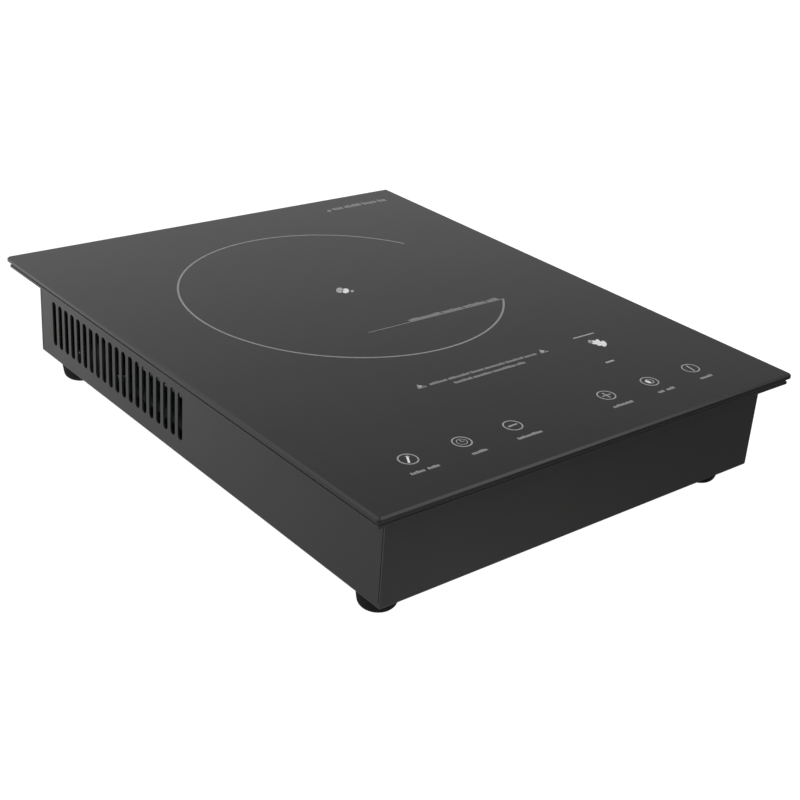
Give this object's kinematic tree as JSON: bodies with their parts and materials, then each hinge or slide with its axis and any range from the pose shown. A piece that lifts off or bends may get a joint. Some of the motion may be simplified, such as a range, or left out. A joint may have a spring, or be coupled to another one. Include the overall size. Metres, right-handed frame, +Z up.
{
  "type": "induction cooktop",
  "caption": "Built-in induction hob: dark bevelled glass plate with touch keys over a folded steel case with cooling slots, on rubber feet, with coil, boards, heat sink and fan inside.",
  "frame": {"origin": "middle of the footprint, at the level that the feet stand on", "axes": "+X to the right seen from the front, +Y from the touch keys to the rear, +Z up through the glass"},
  "size_m": [0.288, 0.36, 0.071],
  "materials": {
    "ceramic_glass": "gloss, printed from above",
    "seal_rubber": "matt",
    "painted_steel": "satin dark grey paint",
    "zinc_steel": "zinc plated",
    "screw_steel": "zinc plated",
    "foot_rubber": "matt",
    "grommet_rubber": "matt",
    "terminal_plastic": "moulded",
    "brass": "turned",
    "mica": "pressed sheet",
    "litz": "enamelled copper strands",
    "carrier_plastic": "glass filled moulding",
    "ferrite": "sintered",
    "spring_steel": "drawn",
    "silicone": "matt",
    "bead_glass": "gloss",
    "board_laminate": "solder mask",
    "sink_aluminium": "extruded",
    "package_epoxy": "moulded",
    "pad_silicone": "matt",
    "film_box": "moulded",
    "choke_ferrite": "coated",
    "choke_wire": "enamelled wire",
    "can_sleeve": "shrink sleeve",
    "former_plastic": "moulded",
    "buzzer_plastic": "moulded",
    "fuse_glass": "gloss",
    "varistor_coat": "dipped",
    "header_plastic": "moulded",
    "fan_plastic": "moulded",
    "bearing_bronze": "sintered",
    "stator_steel": "laminated and wound",
    "shaft_steel": "ground",
    "magnet": "bonded",
    "duct_plastic": "moulded",
    "display_plastic": "moulded",
    "lamp_epoxy": "clear epoxy",
    "ribbon_plastic": "flat cable",
    "lead_white": "silicone sheath",
    "lead_brown": "sheath",
    "lead_earth": "sheath",
    "lead_red": "sheath"
  },
  "bodies": {
    "hob": {"glass_plate": "ceramic_glass", "glass_seal": "seal_rubber", "support_flange": "painted_steel", "flange_brackets": "zinc_steel", "case_tray": "painted_steel", "rubber_feet": "foot_rubber", "foot_screws": "screw_steel", "foot_nuts": "screw_steel", "base_screws": "screw_steel", "board_screws": "screw_steel", "cable_grommet": "grommet_rubber", "terminal_block": "terminal_plastic", "earth_stud": "brass", "mica_sheet": "mica", "coil_winding": "litz", "coil_carrier": "carrier_plastic", "ferrite_bars": "ferrite", "coil_posts": "zinc_steel", "coil_springs": "spring_steel", "sensor_holder": "silicone", "thermistor": "bead_glass", "main_board": "board_laminate", "board_standoffs": "brass", "heat_sink": "sink_aluminium", "power_transistors": "package_epoxy", "bridge_rectifier": "package_epoxy", "thermal_pads": "pad_silicone", "heat_sink_screws": "screw_steel", "resonant_capacitor": "film_box", "filter_capacitor": "film_box", "choke_core": "choke_ferrite", "choke_windings": "choke_wire", "electrolytic_capacitors": "can_sleeve", "supply_transformer": "former_plastic", "buzzer": "buzzer_plastic", "fuse": "fuse_glass", "fuse_clips": "brass", "varistor": "varistor_coat", "controller_chip": "package_epoxy", "board_connectors": "header_plastic", "fan_frame": "fan_plastic", "fan_bearing": "bearing_bronze", "fan_stator": "stator_steel", "air_duct": "duct_plastic", "control_bracket": "zinc_steel", "control_spacers": "header_plastic", "control_board": "board_laminate", "control_screws": "screw_steel", "touch_springs": "spring_steel", "digit_display": "display_plastic", "indicator_lamps": "lamp_epoxy", "control_socket": "header_plastic", "ribbon_cable": "ribbon_plastic", "coil_leads": "lead_white", "mains_leads": "lead_brown", "earth_lead": "lead_earth", "fan_lead": "lead_red"},
    "rotor": {"fan_impeller": "fan_plastic", "fan_shaft": "shaft_steel", "fan_magnet": "magnet"}
  },
  "joints": [
    {"name": "fan_spin", "type": "hinge", "parent": "hob", "child": "rotor", "pos_m": [0.078, 0.04, 0.014], "axis": [0, 0, 1], "continuous": true}
  ]
}
